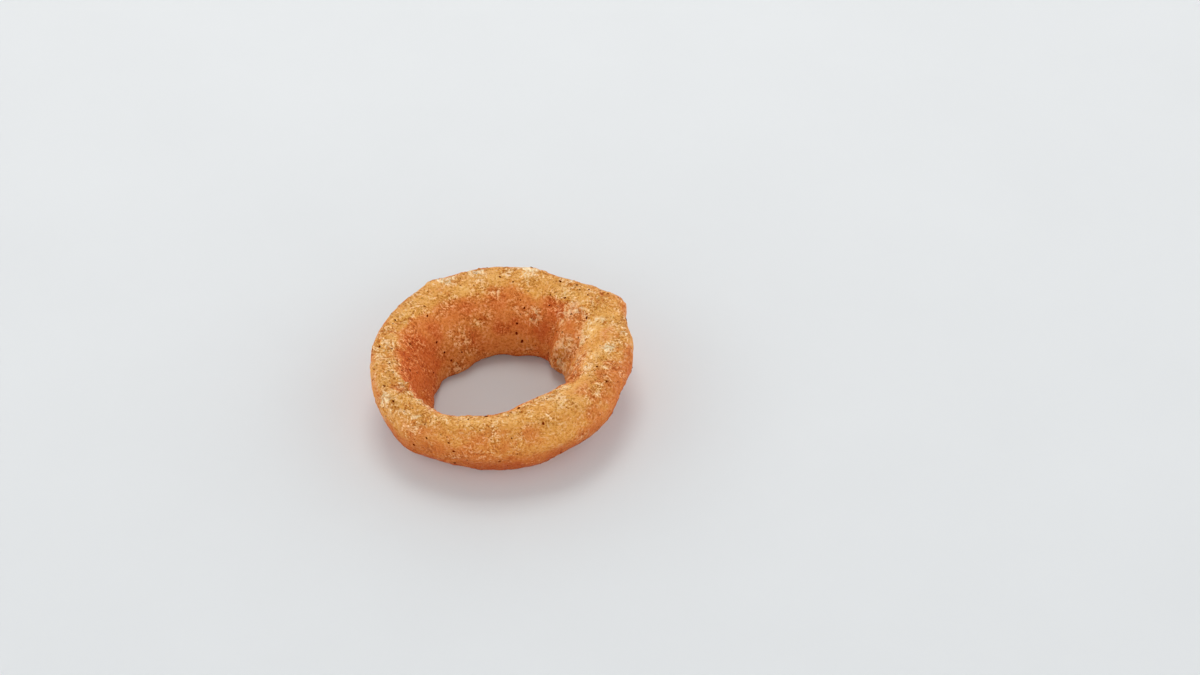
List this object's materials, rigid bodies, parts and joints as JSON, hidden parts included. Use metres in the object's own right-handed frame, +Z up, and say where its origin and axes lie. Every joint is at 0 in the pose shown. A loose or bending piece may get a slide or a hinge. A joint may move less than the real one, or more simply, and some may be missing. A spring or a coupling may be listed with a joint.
{
  "type": "battered onion ring",
  "caption": "Deep-fried battered onion ring: a thick lumpy golden band that flares upwards round an off-centre hole.",
  "frame": {"origin": "on the surface that the ring lies on, under the middle of its box", "axes": "+Z up out of the ring's wider side, +Y towards its back, +X to the right with the thickest wall"},
  "size_m": [0.0736, 0.075, 0.0194],
  "materials": {
    "fried_batter": "golden fried batter, finely grained and slightly oily, browner in the hole"
  },
  "bodies": {
    "root": {"onion_ring": "fried_batter"}
  },
  "joints": []
}
